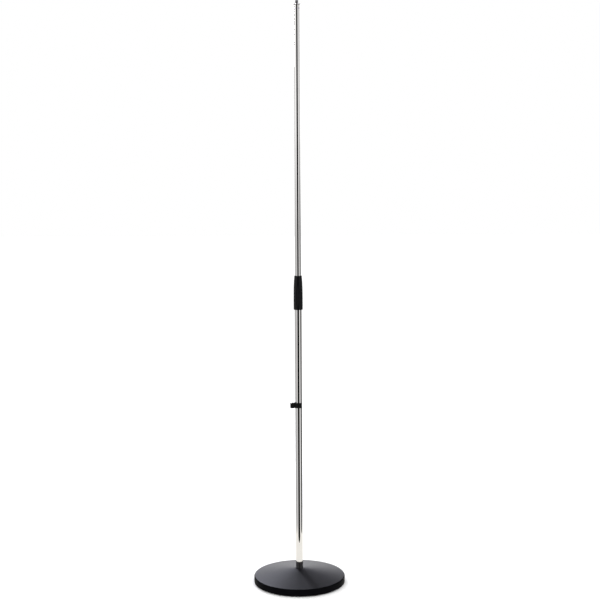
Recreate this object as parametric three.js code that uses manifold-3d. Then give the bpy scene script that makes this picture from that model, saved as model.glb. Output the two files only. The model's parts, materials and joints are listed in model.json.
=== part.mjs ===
// Floor microphone stand: a cast round base on a rubber ring, a two-piece telescopic rod held by a
// twist clutch, a snap-on cable clip, and a flanged 3/8 inch stud on top that takes a microphone clip.
// Millimetres, +Z up. The origin is on the floor under the rod's axis, and the rod is fully extended.
import * as THREE from "three";
import { mergeVertices } from "three/addons/utils/BufferGeometryUtils.js";
import Module from "manifold-3d";

const wasm = await Module();
wasm.setup();

// ---------------------------------------------------------------- driving dimensions
const OVERALL_HEIGHT = 1575;
const BASE_RADIUS = 125;
const BASE_CENTRE_HEIGHT = 38.5; // top of the boss that the lower tube stands in
const LOWER_TUBE_RADIUS = 9.5;
const UPPER_ROD_RADIUS = 8;
const LOWER_TUBE_WALL = 0.8;
const UPPER_ROD_WALL = 1;
const STUD_RADIUS = 9.525 / 2; // 3/8 inch
const STUD_LENGTH = 10;
const STUD_PITCH = 25.4 / 16;
const CLUTCH_BOTTOM = 757.5;
const CLUTCH_TOP = 849.4;
const CLIP_BOTTOM = 489;
const CLIP_HEIGHT = 14;

// Clearances
const FACE_GAP = 0.3; // between two pieces that rest face to face
const RUNNING_GAP = 0.1; // radial, between a shaft and the bush that it runs in
const FIT_GAP = 0.1; // radial, between pieces that are pressed or screwed together
const BURR_CHAMFER = 0.25; // on every sawn tube end

// Facets in a full turn
const BASE_FACETS = 64;
const ROUND_FACETS = 32;
const SMALL_FACETS = 24;
const PIN_FACETS = 12;

// Worked out from the driving dimensions
const LOWER_TUBE_BORE = LOWER_TUBE_RADIUS - LOWER_TUBE_WALL;
const UPPER_ROD_BORE = UPPER_ROD_RADIUS - UPPER_ROD_WALL;
const ROD_HOLE = UPPER_ROD_RADIUS + FACE_GAP; // a hole that clears the upper rod
const FLANGE_TOP = OVERALL_HEIGHT - STUD_LENGTH;

// ---------------------------------------------------------------- materials
function finish(color, roughness, metalness) {
  return new THREE.MeshStandardMaterial({ color, roughness, metalness });
}
const POWDER_COAT = finish(0x34343a, 0.5, 0.1);
const RUBBER = finish(0x141414, 0.9, 0);
const CHROME = finish(0xd8d8d6, 0.06, 1);
const STEEL = finish(0x9a9b9c, 0.35, 1);
const ZINC = finish(0x8d8f92, 0.45, 1);
const BLACK_PLASTIC = finish(0x17171a, 0.42, 0);
const NYLON = finish(0xe6e3d8, 0.5, 0);
const FELT = finish(0x232323, 0.95, 0);

// ---------------------------------------------------------------- shape helpers
const polar = (radius, angle) => [radius * Math.cos(angle), radius * Math.sin(angle)];
const rad = THREE.MathUtils.degToRad;
const deg = THREE.MathUtils.radToDeg;

// Points of an arc round [centreR, centreZ], from one angle to another, in degrees.
function arc(centreR, centreZ, radius, fromDeg, toDeg, steps) {
  return Array.from({ length: steps + 1 }, (_, i) => {
    const [dr, dz] = polar(radius, rad(fromDeg + ((toDeg - fromDeg) * i) / steps));
    return [centreR + dr, centreZ + dz];
  });
}

// A closed outline of [radius, height] points, turned round the Z axis. Either winding will do.
function turned(outline, facets = ROUND_FACETS) {
  const points = outline.map(([r, z]) => new THREE.Vector2(r, z));
  if (THREE.ShapeUtils.isClockWise(points)) points.reverse();
  const geometry = new THREE.LatheGeometry([...points, points[0].clone()], facets);
  return geometry.rotateX(Math.PI / 2);
}

// A ring with a rectangular section and chamfered outer corners.
function ring(innerRadius, outerRadius, bottom, top, chamfer = 0.3, facets = ROUND_FACETS) {
  return turned(
    [
      [innerRadius, bottom],
      [outerRadius - chamfer, bottom],
      [outerRadius, bottom + chamfer],
      [outerRadius, top - chamfer],
      [outerRadius - chamfer, top],
      [innerRadius, top],
    ],
    facets,
  );
}

// A flat outline of [x, y] points, with optional holes, made `height` thick above `bottom`.
function slab(outline, bottom, height) {
  const shape = new THREE.Shape(outline.map(([x, y]) => new THREE.Vector2(x, y)));
  const geometry = new THREE.ExtrudeGeometry(shape, { depth: height, bevelEnabled: false });
  return geometry.translate(0, 0, bottom);
}

function toSolid(geometry) {
  const bare = geometry.index ? geometry.toNonIndexed() : geometry.clone();
  bare.deleteAttribute("normal");
  bare.deleteAttribute("uv");
  const merged = mergeVertices(bare, 1e-4);
  return new wasm.Manifold(
    new wasm.Mesh({
      numProp: 3,
      vertProperties: new Float32Array(merged.attributes.position.array),
      triVerts: new Uint32Array(merged.index.array),
    }),
  );
}

function toGeometry(solid) {
  const { vertProperties, triVerts } = solid.getMesh();
  const geometry = new THREE.BufferGeometry();
  geometry.setAttribute("position", new THREE.BufferAttribute(vertProperties, 3));
  geometry.setIndex(new THREE.BufferAttribute(triVerts, 1));
  const faceted = geometry.toNonIndexed();
  faceted.computeVertexNormals();
  return faceted;
}

function joined(...geometries) {
  return toGeometry(geometries.map(toSolid).reduce((all, next) => all.add(next)));
}

function cut(body, ...tools) {
  return toGeometry(tools.map(toSolid).reduce((left, tool) => left.subtract(tool), toSolid(body)));
}

// A round bar along X, used for the pins that cross the tube wall and for their holes.
function crossBar(radius, fromX, toX, height) {
  const bar = new THREE.CylinderGeometry(radius, radius, toX - fromX, PIN_FACETS);
  return bar.rotateZ(Math.PI / 2).translate((fromX + toX) / 2, 0, height);
}

// ---------------------------------------------------------------- base
const TUBE_SOCKET_DEPTH = 4;
const SOCKET_FLOOR = BASE_CENTRE_HEIGHT - TUBE_SOCKET_DEPTH;
const SOCKET_RADIUS = LOWER_TUBE_RADIUS + FACE_GAP;
const BOSS_TOP_RADIUS = 13;
const BOSS_RADIUS = 20;
const BOSS_BOTTOM = 5;
const SKIRT_CHAMFER = 1;
const RIM_ROUND = 4; // radius where the top turns down into the skirt
const RIM_HEIGHT = 21; // where the cone would meet the skirt's rounding
const RIM_WIDTH = 16;
const CASTING_BOTTOM = 2.5; // the rubber ring holds the casting this far off the floor
const SHELL_THICKNESS = 8;
const BOLT_RADIUS = 5;
const BOLT_HOLE_RADIUS = 5.5;
const COUNTERBORE_RADIUS = 12.5;
const COUNTERBORE_TOP = 17;
const RIB_COUNT = 6;
const RIB_THICKNESS = 5;
const RIB_BOTTOM = 9;
const RIB_OVERLAP = 1; // how far a rib runs into the boss and into the rim
const RING_INNER = 113;
const RING_OUTER = 121;
const RING_HEIGHT = 7;
const RING_CHAMFER = 1;

const CONE_WIDTH = BASE_RADIUS - RIM_ROUND - BOSS_TOP_RADIUS;
const CONE_ANGLE = Math.atan((BASE_CENTRE_HEIGHT - RIM_HEIGHT) / CONE_WIDTH);
const coneHeight = (radius) => BASE_CENTRE_HEIGHT - (radius - BOSS_TOP_RADIUS) * Math.tan(CONE_ANGLE);
const ceilingHeight = (radius) => coneHeight(radius) - SHELL_THICKNESS / Math.cos(CONE_ANGLE);

// The hollow underside has a rim that holds the rubber ring, a boss for the bolt, and radial ribs.
function baseCasting() {
  const rimInner = BASE_RADIUS - RIM_WIDTH;
  const roundTop = coneHeight(BASE_RADIUS - RIM_ROUND);
  const roundCentre = [BASE_RADIUS - RIM_ROUND, roundTop - RIM_ROUND / Math.cos(CONE_ANGLE)];
  const coneNormalDeg = 90 - deg(CONE_ANGLE);
  const grooveTop = RING_HEIGHT + FACE_GAP;
  const shell = turned(
    [
      [BOLT_HOLE_RADIUS, SOCKET_FLOOR],
      [SOCKET_RADIUS, SOCKET_FLOOR],
      [SOCKET_RADIUS, BASE_CENTRE_HEIGHT],
      [BOSS_TOP_RADIUS, BASE_CENTRE_HEIGHT],
      ...arc(...roundCentre, RIM_ROUND, coneNormalDeg, 0, 4),
      [BASE_RADIUS, CASTING_BOTTOM + SKIRT_CHAMFER],
      [BASE_RADIUS - SKIRT_CHAMFER, CASTING_BOTTOM],
      [RING_OUTER + FACE_GAP, CASTING_BOTTOM],
      [RING_OUTER + FACE_GAP, grooveTop],
      [RING_INNER - FACE_GAP, grooveTop],
      [RING_INNER - FACE_GAP, CASTING_BOTTOM],
      [rimInner, CASTING_BOTTOM],
      [rimInner, ceilingHeight(rimInner)],
      [BOSS_RADIUS, ceilingHeight(BOSS_RADIUS)],
      [BOSS_RADIUS, BOSS_BOTTOM],
      [COUNTERBORE_RADIUS, BOSS_BOTTOM],
      [COUNTERBORE_RADIUS, COUNTERBORE_TOP],
      [BOLT_HOLE_RADIUS, COUNTERBORE_TOP],
    ],
    BASE_FACETS,
  );
  const intoShell = SHELL_THICKNESS / 3;
  const ribStart = BOSS_RADIUS - RIB_OVERLAP;
  const ribEnd = rimInner + RIB_OVERLAP;
  const ribs = Array.from({ length: RIB_COUNT }, (_, i) => {
    const side = [
      [ribStart, RIB_BOTTOM],
      [ribEnd, RIB_BOTTOM],
      [ribEnd, ceilingHeight(ribEnd) + intoShell],
      [ribStart, ceilingHeight(ribStart) + intoShell],
    ];
    return slab(side, -RIB_THICKNESS / 2, RIB_THICKNESS)
      .rotateX(Math.PI / 2)
      .rotateZ((i * 2 * Math.PI) / RIB_COUNT);
  });
  return joined(shell, ...ribs);
}

function rubberRing() {
  return turned(
    [
      [RING_INNER + RING_CHAMFER, 0],
      [RING_OUTER - RING_CHAMFER, 0],
      [RING_OUTER, RING_CHAMFER],
      [RING_OUTER, RING_HEIGHT],
      [RING_INNER, RING_HEIGHT],
      [RING_INNER, RING_CHAMFER],
    ],
    BASE_FACETS,
  );
}

const WASHER_BORE = 5.4;
const WASHER_RADIUS = 11;
const WASHER_THICKNESS = 2;
const SPRING_WASHER_RADIUS = 9;
const SPRING_WASHER_THICKNESS = 2.2;
const SPRING_WASHER_SPLIT = 1.2;
const SPRING_WASHER_SLANT_DEG = 25;
const BOLT_HEAD_HEIGHT = 6.4;
const BOLT_HEAD_ACROSS_FLATS = 17;
const BOLT_END = 50;
const BOLT_END_CHAMFER = 1;
const FLAT_WASHER_BOTTOM = COUNTERBORE_TOP - FACE_GAP - WASHER_THICKNESS;
const SPRING_WASHER_BOTTOM = FLAT_WASHER_BOTTOM - FACE_GAP - SPRING_WASHER_THICKNESS;
const BOLT_HEAD_TOP = SPRING_WASHER_BOTTOM - FACE_GAP;

function flatWasher() {
  const top = FLAT_WASHER_BOTTOM + WASHER_THICKNESS;
  return ring(WASHER_BORE, WASHER_RADIUS, FLAT_WASHER_BOTTOM, top, 0.3, SMALL_FACETS);
}

function springWasher() {
  const top = SPRING_WASHER_BOTTOM + SPRING_WASHER_THICKNESS;
  const body = ring(WASHER_BORE, SPRING_WASHER_RADIUS, SPRING_WASHER_BOTTOM, top, 0.2, SMALL_FACETS);
  const middle = [(WASHER_BORE + SPRING_WASHER_RADIUS) / 2, 0, (SPRING_WASHER_BOTTOM + top) / 2];
  const split = new THREE.BoxGeometry(WASHER_BORE, SPRING_WASHER_SPLIT, 4 * SPRING_WASHER_THICKNESS);
  return cut(body, split.rotateX(rad(SPRING_WASHER_SLANT_DEG)).translate(...middle));
}

function baseBolt() {
  const headBottom = BOLT_HEAD_TOP - BOLT_HEAD_HEIGHT;
  const cornerRadius = BOLT_HEAD_ACROSS_FLATS / 2 / Math.cos(Math.PI / 6);
  const corners = Array.from({ length: 6 }, (_, i) => polar(cornerRadius, (i * Math.PI) / 3));
  const head = slab(corners, headBottom, BOLT_HEAD_HEIGHT);
  const shankStart = headBottom + BOLT_HEAD_HEIGHT / 2;
  const shank = turned(
    [
      [0, shankStart],
      [BOLT_RADIUS, shankStart],
      [BOLT_RADIUS, BOLT_END - BOLT_END_CHAMFER],
      [BOLT_RADIUS - BOLT_END_CHAMFER, BOLT_END],
      [0, BOLT_END],
    ],
    SMALL_FACETS,
  );
  return joined(head, shank);
}

// ---------------------------------------------------------------- lower tube
const TUBE_BOTTOM = SOCKET_FLOOR + FACE_GAP;
const TUBE_TOP = 815;
const FOOT_PLUG_TOP = 57;
const FOOT_PLUG_CHAMFER = 1.5;
const TAPPED_DEPTH = 1; // how far the tapped hole's full thread runs past the bolt's end
const PIN_RADIUS = 1.5;
const PIN_HEIGHT = 800;

// Steel plug pressed into the tube's foot, tapped from below for the base bolt.
function footPlug() {
  const radius = LOWER_TUBE_BORE - FIT_GAP;
  const tapped = BOLT_RADIUS + FIT_GAP;
  return turned([
    [tapped, TUBE_BOTTOM],
    [radius, TUBE_BOTTOM],
    [radius, FOOT_PLUG_TOP - FOOT_PLUG_CHAMFER],
    [radius - FOOT_PLUG_CHAMFER, FOOT_PLUG_TOP],
    [0, FOOT_PLUG_TOP],
    [0, BOLT_END + 2 * TAPPED_DEPTH],
    [tapped, BOLT_END + TAPPED_DEPTH],
  ]);
}

const pinHole = () => crossBar(PIN_RADIUS + FIT_GAP, -BOSS_RADIUS, BOSS_RADIUS, PIN_HEIGHT);

function lowerTube() {
  return cut(ring(LOWER_TUBE_BORE, LOWER_TUBE_RADIUS, TUBE_BOTTOM, TUBE_TOP, BURR_CHAMFER), pinHole());
}

// ---------------------------------------------------------------- twist clutch
const BODY_RADIUS = 11; // outside of the thread that the grip screws onto
const BODY_BOTTOM = 786;
const BODY_CHAMFER = 0.6;
const THREAD_TOP = 820; // above it the body narrows to guide the grip on
const SEAT_BOTTOM = 819.5; // the body's cone seat, which the collet sits in
const SEAT_TOP = 825;
const SEAT_BOTTOM_RADIUS = 8.5;
const SEAT_TOP_RADIUS = 9.75;
const COLLET_RADIUS = 9.7;
const COLLET_CLEARANCE = 0.5; // the open collet's height above the bottom of its seat
const COLLET_SHOULDER = 831; // above it the jaws' upper cone begins
const COLLET_TOP = 836;
const COLLET_TOP_RADIUS = 8.7;
const COLLET_BAND = 2.5; // uncut ring below the jaws
const SLOT_WIDTH = 0.8;
const SLOT_COUNT = 8;
const SLIP_RING_BOTTOM = 831.2;
const SLIP_RING_MOUTH = 9.95; // its cone's inner radius at the bottom, and the heights where it ends
const SLIP_CONE_TOP = 837.2;
const SLIP_FACE = 838.2;
const SLIP_RING_TOP = 840.5;
const GRIP_BORE = 11.2;
const GRIP_NECK_BORE = 10.3;
const NECK_START = 822;
const NECK_END = 828;
const GRIP_MOUTH = 8.4; // hole at the grip's top, round the upper rod

// Threaded sleeve fixed over the tube's top end by two pins.
function clutchBody() {
  const skirtBore = LOWER_TUBE_RADIUS + FIT_GAP;
  const shoulder = TUBE_TOP + FACE_GAP;
  const sleeve = turned([
    [skirtBore, BODY_BOTTOM],
    [BODY_RADIUS - BODY_CHAMFER, BODY_BOTTOM],
    [BODY_RADIUS, BODY_BOTTOM + BODY_CHAMFER],
    [BODY_RADIUS, THREAD_TOP],
    [BODY_RADIUS - BODY_CHAMFER, SEAT_TOP],
    [SEAT_TOP_RADIUS, SEAT_TOP],
    [SEAT_BOTTOM_RADIUS, SEAT_BOTTOM],
    [ROD_HOLE, SEAT_BOTTOM],
    [ROD_HOLE, shoulder],
    [skirtBore, shoulder],
  ]);
  return cut(sleeve, pinHole());
}

function clutchPin(side) {
  const inner = LOWER_TUBE_BORE + FIT_GAP;
  const outer = BODY_RADIUS - FIT_GAP;
  const pin = crossBar(PIN_RADIUS, inner, outer, PIN_HEIGHT);
  return side < 0 ? pin.rotateZ(Math.PI) : pin;
}

// Nylon bush in the tube's top end. It steadies the upper rod and stops it from pulling out.
const GUIDE_BOTTOM = 790.3;
function guideBush() {
  return ring(UPPER_ROD_RADIUS + RUNNING_GAP, LOWER_TUBE_BORE - FIT_GAP, GUIDE_BOTTOM, TUBE_TOP, 0.2);
}

// Split collet: a nylon ring with a cone at each end and eight jaws that close on the rod.
function collet() {
  const bore = UPPER_ROD_RADIUS + RUNNING_GAP;
  const bottom = SEAT_BOTTOM + COLLET_CLEARANCE;
  const body = turned([
    [bore, bottom],
    [SEAT_BOTTOM_RADIUS, bottom],
    [COLLET_RADIUS, SEAT_TOP + COLLET_CLEARANCE],
    [COLLET_RADIUS, COLLET_SHOULDER],
    [COLLET_TOP_RADIUS, COLLET_TOP],
    [bore, COLLET_TOP],
  ]);
  const slotHeight = COLLET_TOP - bottom;
  const slots = Array.from({ length: SLOT_COUNT / 2 }, (_, i) =>
    new THREE.BoxGeometry(4 * COLLET_RADIUS, SLOT_WIDTH, slotHeight)
      .translate(0, 0, bottom + COLLET_BAND + slotHeight / 2)
      .rotateZ(((i + 0.5) * 2 * Math.PI) / SLOT_COUNT),
  );
  return cut(body, ...slots);
}

// Steel ring between the grip and the collet, so that the turning grip doesn't twist the jaws.
function slipRing() {
  const outer = GRIP_NECK_BORE - 2 * FIT_GAP;
  return turned([
    [SLIP_RING_MOUTH, SLIP_RING_BOTTOM],
    [outer, SLIP_RING_BOTTOM],
    [outer, SLIP_RING_TOP],
    [ROD_HOLE, SLIP_RING_TOP],
    [ROD_HOLE, SLIP_FACE],
    [COLLET_TOP_RADIUS, SLIP_CONE_TOP],
  ]);
}

const WIPER_BOTTOM = 845;
const WIPER_RADIUS = 9;

// The outside of the grip, from its lower edge to its narrow top, as [radius, height].
const GRIP_OUTSIDE = [
  [10.9, CLUTCH_BOTTOM],
  [11.8, CLUTCH_BOTTOM + 0.5],
  [12.4, CLUTCH_BOTTOM + 2.2],
  [12.4, 772],
  [12.3, 797],
  [12.1, 815],
  [11.7, 827],
  [11.0, 838],
  [10.4, 845.5],
  [10.15, CLUTCH_TOP - 0.5],
  [9.8, CLUTCH_TOP],
];

// Twelve shallow finger flutes run up the cylindrical part of the grip and fade out at both ends.
const FLUTE_COUNT = 12;
const FLUTE_DEPTH = 0.4;
const FLUTE_FOOT = [760.5, 773.5]; // heights between which the flutes fade in
const FLUTE_HEAD = [812, 830]; // and out

function fluteDepth(angle, height) {
  const fadeIn = THREE.MathUtils.smoothstep(height, ...FLUTE_FOOT);
  const fadeOut = 1 - THREE.MathUtils.smoothstep(height, ...FLUTE_HEAD);
  return FLUTE_DEPTH * fadeIn * fadeOut * (0.5 - 0.5 * Math.cos(FLUTE_COUNT * angle));
}

function clutchGrip() {
  const wiperSeat = WIPER_BOTTOM - FACE_GAP;
  const geometry = turned([
    ...GRIP_OUTSIDE,
    [WIPER_RADIUS + FIT_GAP, CLUTCH_TOP],
    [WIPER_RADIUS + FIT_GAP, wiperSeat],
    [GRIP_MOUTH, wiperSeat],
    [GRIP_MOUTH, SLIP_RING_TOP + FACE_GAP],
    [GRIP_NECK_BORE, SLIP_RING_TOP + FACE_GAP],
    [GRIP_NECK_BORE, NECK_END],
    [GRIP_BORE, NECK_START],
    [GRIP_BORE, CLUTCH_BOTTOM],
  ]);
  const position = geometry.attributes.position;
  for (let i = 0; i < position.count; i++) {
    const [x, y, z] = [position.getX(i), position.getY(i), position.getZ(i)];
    const radius = Math.hypot(x, y);
    if (radius < GRIP_BORE + FIT_GAP) continue;
    const pulledIn = (radius - fluteDepth(Math.atan2(y, x), z)) / radius;
    position.setXY(i, x * pulledIn, y * pulledIn);
  }
  return geometry;
}

// Bush in the grip's lower end that keeps it square on the tube.
const END_BUSH_BOTTOM = 758;
const END_BUSH_TOP = 766;
function gripEndBush() {
  return ring(LOWER_TUBE_RADIUS + FIT_GAP, GRIP_BORE - FIT_GAP, END_BUSH_BOTTOM, END_BUSH_TOP);
}

// Felt ring in the top of the grip that wipes the rod.
const WIPER_TOP = 849;
function wiperRing() {
  return ring(UPPER_ROD_RADIUS + RUNNING_GAP, WIPER_RADIUS, WIPER_BOTTOM, WIPER_TOP, 0.2);
}

// ---------------------------------------------------------------- upper rod
const END_PLUG_FLANGE_BOTTOM = 765;
const END_PLUG_FLANGE_TOP = 768;
const ROD_BOTTOM = END_PLUG_FLANGE_TOP + FACE_GAP;
const FLANGE_THICKNESS = 2.4;
const FLANGE_RADIUS = 10;
const FLANGE_BOTTOM = FLANGE_TOP - FLANGE_THICKNESS;
const ROD_TOP = FLANGE_BOTTOM - FACE_GAP;
const CRIMP_HEIGHT = FLANGE_TOP - 12; // a rolled groove that locks the rod onto the thread plug
const CRIMP_DEPTH = 0.35;
const CRIMP_HALF_WIDTH = 1.2;
const INSERT_RADIUS = UPPER_ROD_BORE - FIT_GAP;

function upperRod() {
  return turned([
    [UPPER_ROD_BORE, ROD_BOTTOM],
    [UPPER_ROD_RADIUS - BURR_CHAMFER, ROD_BOTTOM],
    [UPPER_ROD_RADIUS, ROD_BOTTOM + BURR_CHAMFER],
    [UPPER_ROD_RADIUS, CRIMP_HEIGHT - CRIMP_HALF_WIDTH],
    [UPPER_ROD_RADIUS - CRIMP_DEPTH, CRIMP_HEIGHT],
    [UPPER_ROD_RADIUS, CRIMP_HEIGHT + CRIMP_HALF_WIDTH],
    [UPPER_ROD_RADIUS, ROD_TOP - BURR_CHAMFER],
    [UPPER_ROD_RADIUS - BURR_CHAMFER, ROD_TOP],
    [UPPER_ROD_BORE, ROD_TOP],
    [UPPER_ROD_BORE, CRIMP_HEIGHT + CRIMP_HALF_WIDTH],
    [UPPER_ROD_BORE - CRIMP_DEPTH, CRIMP_HEIGHT],
    [UPPER_ROD_BORE, CRIMP_HEIGHT - CRIMP_HALF_WIDTH],
  ]);
}

// Nylon bush that runs in the lower tube. It meets the guide bush when the rod is at full height.
const STOP_BUSH_TOP = GUIDE_BOTTOM - FACE_GAP;
function stopBush() {
  return ring(UPPER_ROD_RADIUS + RUNNING_GAP, LOWER_TUBE_BORE - FIT_GAP, ROD_BOTTOM, STOP_BUSH_TOP, 0.2);
}

const END_PLUG_TOP = 786;
const END_PLUG_CHAMFER = 1;
const SCREW_RADIUS = 2.5;
const SCREW_HEAD_RADIUS = 4.6;
const SCREW_RIM = 0.3; // straight edge of the countersunk head
const SCREW_DRIVE_RADIUS = 1.5;
const SCREW_DRIVE_DEPTH = 1.6;
const SCREW_END = 783;
const SCREW_END_CHAMFER = 1;

// Plug in the rod's lower end. Its flange carries the stop bush, and its screw spreads it in the rod.
function rodEndPlug() {
  const hole = SCREW_RADIUS + FIT_GAP;
  const sink = SCREW_HEAD_RADIUS + FIT_GAP;
  const flange = LOWER_TUBE_BORE - FACE_GAP;
  return turned([
    [sink, END_PLUG_FLANGE_BOTTOM],
    [flange, END_PLUG_FLANGE_BOTTOM],
    [flange, END_PLUG_FLANGE_TOP],
    [INSERT_RADIUS, END_PLUG_FLANGE_TOP],
    [INSERT_RADIUS, END_PLUG_TOP - END_PLUG_CHAMFER],
    [INSERT_RADIUS - END_PLUG_CHAMFER, END_PLUG_TOP],
    [hole, END_PLUG_TOP],
    [hole, END_PLUG_FLANGE_BOTTOM + sink - hole],
  ]);
}

function rodEndScrew() {
  const headBottom = END_PLUG_FLANGE_BOTTOM + FACE_GAP;
  const rim = SCREW_HEAD_RADIUS - SCREW_RIM;
  return turned(
    [
      [0, headBottom + SCREW_DRIVE_DEPTH],
      [SCREW_DRIVE_RADIUS, headBottom + SCREW_DRIVE_DEPTH],
      [SCREW_DRIVE_RADIUS, headBottom],
      [rim, headBottom],
      [SCREW_RADIUS, headBottom + rim - SCREW_RADIUS],
      [SCREW_RADIUS, SCREW_END - SCREW_END_CHAMFER],
      [SCREW_RADIUS - SCREW_END_CHAMFER, SCREW_END],
      [0, SCREW_END],
    ],
    SMALL_FACETS,
  );
}

const INSERT_BOTTOM = CRIMP_HEIGHT - 11;
const INSERT_CHAMFER = 1;
const FLANGE_LOWER_CHAMFER = 0.5;
const FLANGE_UPPER_CHAMFER = 0.7;
const THREAD_ROOT = STUD_RADIUS - 0.61 * STUD_PITCH;
const STUD_NECK = 0.8; // plain collar at the stud's foot, as wide as the thread
const STUD_TIP_CHAMFER = 0.8;
const RIDGE_COUNT = 5;

// Turned steel plug in the rod's top end: insert, flange and threaded stud. Ridges stand for the thread.
function threadPlug() {
  const neckTop = FLANGE_TOP + STUD_NECK;
  const thread = Array.from({ length: RIDGE_COUNT }, (_, i) => {
    const root = neckTop + (i + 0.5) * STUD_PITCH;
    return [
      [THREAD_ROOT, root],
      [STUD_RADIUS, root + STUD_PITCH / 2],
    ];
  }).flat();
  return turned([
    [0, INSERT_BOTTOM],
    [INSERT_RADIUS - INSERT_CHAMFER, INSERT_BOTTOM],
    [INSERT_RADIUS, INSERT_BOTTOM + INSERT_CHAMFER],
    [INSERT_RADIUS, CRIMP_HEIGHT - CRIMP_HALF_WIDTH],
    [INSERT_RADIUS - CRIMP_DEPTH, CRIMP_HEIGHT],
    [INSERT_RADIUS, CRIMP_HEIGHT + CRIMP_HALF_WIDTH],
    [INSERT_RADIUS, FLANGE_BOTTOM],
    [FLANGE_RADIUS - FLANGE_LOWER_CHAMFER, FLANGE_BOTTOM],
    [FLANGE_RADIUS, FLANGE_BOTTOM + FLANGE_LOWER_CHAMFER],
    [FLANGE_RADIUS, FLANGE_TOP - FLANGE_UPPER_CHAMFER],
    [FLANGE_RADIUS - FLANGE_UPPER_CHAMFER, FLANGE_TOP],
    [STUD_RADIUS, FLANGE_TOP],
    [STUD_RADIUS, neckTop],
    ...thread,
    [THREAD_ROOT, OVERALL_HEIGHT - STUD_TIP_CHAMFER / 2],
    [THREAD_ROOT - STUD_TIP_CHAMFER, OVERALL_HEIGHT],
    [0, OVERALL_HEIGHT],
  ]);
}

// ---------------------------------------------------------------- cable clip
const CLIP_BORE = LOWER_TUBE_RADIUS + FIT_GAP;
const CLIP_WALL = 1.9;
const CLIP_OUTSIDE = CLIP_BORE + CLIP_WALL;
const CLIP_MOUTH_HALF_DEG = 42; // the C that snaps on the tube opens towards +X
const HOOK_BORE = 3.8; // takes a 7 mm microphone cable
const HOOK_WALL = 2.1;
const HOOK_OUTSIDE = HOOK_BORE + HOOK_WALL;
const HOOK_X = -17.2;
const HOOK_Y = -5.6;
const HOOK_OPENS_DEG = 95; // the hook's mouth faces backwards and away from the tube
const HOOK_CLOSES_DEG = 175;
const WEB_FILLET = 3; // hollow corners on both sides of the web between jaws and hook

// A half circle over the end of an open ring's wall.
function ringTip(x, y, bore, wall, atDeg, turnDeg) {
  const [dx, dy] = polar(bore + wall / 2, rad(atDeg));
  return arc(x + dx, y + dy, wall / 2, atDeg + turnDeg, atDeg + turnDeg + 180, 6).slice(1, -1);
}

// Jaws and hook are one outline: two open rings that run into each other through the fillets.
function clipOutline() {
  const apart = Math.hypot(HOOK_X, HOOK_Y);
  const [jawSide, hookSide] = [CLIP_OUTSIDE + WEB_FILLET, HOOK_OUTSIDE + WEB_FILLET];
  const corner = (near, far) => deg(Math.acos((apart ** 2 + near ** 2 - far ** 2) / (2 * apart * near)));
  const [atJaw, atHook] = [corner(jawSide, hookSide), corner(hookSide, jawSide)];
  const toHook = 360 + deg(Math.atan2(HOOK_Y, HOOK_X));
  const toJaw = toHook - 180;
  const backFillet = polar(jawSide, rad(toHook - atJaw));
  const frontFillet = polar(jawSide, rad(toHook + atJaw));
  return [
    ...arc(0, 0, CLIP_OUTSIDE, CLIP_MOUTH_HALF_DEG, toHook - atJaw, 12),
    ...arc(...backFillet, WEB_FILLET, toHook - atJaw + 180, toJaw + atHook + 180, 4).slice(1, -1),
    ...arc(HOOK_X, HOOK_Y, HOOK_OUTSIDE, toJaw + atHook, HOOK_OPENS_DEG, 2),
    ...ringTip(HOOK_X, HOOK_Y, HOOK_BORE, HOOK_WALL, HOOK_OPENS_DEG, 0),
    ...arc(HOOK_X, HOOK_Y, HOOK_BORE, HOOK_OPENS_DEG, HOOK_CLOSES_DEG - 360, 14),
    ...ringTip(HOOK_X, HOOK_Y, HOOK_BORE, HOOK_WALL, HOOK_CLOSES_DEG, 180),
    ...arc(HOOK_X, HOOK_Y, HOOK_OUTSIDE, HOOK_CLOSES_DEG, toJaw - atHook + 360, 8),
    ...arc(...frontFillet, WEB_FILLET, toJaw - atHook + 180, toHook + atJaw - 180, 4).slice(1, -1),
    ...arc(0, 0, CLIP_OUTSIDE, toHook + atJaw, 360 - CLIP_MOUTH_HALF_DEG, 10),
    ...ringTip(0, 0, CLIP_BORE, CLIP_WALL, -CLIP_MOUTH_HALF_DEG, 0),
    ...arc(0, 0, CLIP_BORE, 360 - CLIP_MOUTH_HALF_DEG, CLIP_MOUTH_HALF_DEG, 24),
    ...ringTip(0, 0, CLIP_BORE, CLIP_WALL, CLIP_MOUTH_HALF_DEG, 180),
  ];
}

const cableClip = () => slab(clipOutline(), CLIP_BOTTOM, CLIP_HEIGHT);

// ---------------------------------------------------------------- assembly
const stand = new THREE.Group();
function place(parent, name, geometry, material) {
  const mesh = new THREE.Mesh(geometry, material);
  mesh.name = name;
  parent.add(mesh);
}

const fixed = new THREE.Group();
place(fixed, "base_casting", baseCasting(), POWDER_COAT);
place(fixed, "rubber_ring", rubberRing(), RUBBER);
place(fixed, "flat_washer", flatWasher(), STEEL);
place(fixed, "spring_washer", springWasher(), STEEL);
place(fixed, "base_bolt", baseBolt(), STEEL);
place(fixed, "foot_plug", footPlug(), STEEL);
place(fixed, "lower_tube", lowerTube(), CHROME);
place(fixed, "clutch_body", clutchBody(), ZINC);
place(fixed, "clutch_pin_left", clutchPin(-1), STEEL);
place(fixed, "clutch_pin_right", clutchPin(1), STEEL);
place(fixed, "guide_bush", guideBush(), NYLON);
place(fixed, "collet", collet(), NYLON);

const clutch = new THREE.Group();
place(clutch, "slip_ring", slipRing(), STEEL);
place(clutch, "clutch_grip", clutchGrip(), BLACK_PLASTIC);
place(clutch, "grip_end_bush", gripEndBush(), BLACK_PLASTIC);
place(clutch, "wiper_ring", wiperRing(), FELT);

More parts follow.
